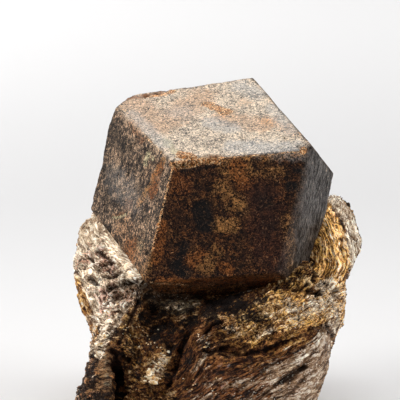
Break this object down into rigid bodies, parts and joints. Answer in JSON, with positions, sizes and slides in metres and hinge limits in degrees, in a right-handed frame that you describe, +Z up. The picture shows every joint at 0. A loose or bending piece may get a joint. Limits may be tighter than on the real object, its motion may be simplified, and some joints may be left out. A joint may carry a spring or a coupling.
{
  "type": "garnet in matrix",
  "caption": "Large dark rusty garnet crystal, a rhombic dodecahedron, held upright in a rough lump of mica schist that is cut flat underneath.",
  "frame": {"origin": "middle of the specimen's bounding box, at the height of its flat underside", "axes": "+Z up, with the crystal on top; -Y towards the viewer, so that the crystal's front face looks along -Y; +X to the viewer's right"},
  "size_m": [0.0578, 0.06, 0.0643],
  "materials": {
    "garnet": "dark brown garnet with a rusty patina, satin on some faces, grainy on others",
    "mica_schist": "rough foliated mica schist, silvery to golden brown with rust stains"
  },
  "bodies": {
    "root": {"garnet_crystal": "garnet", "schist_matrix": "mica_schist"}
  },
  "joints": []
}
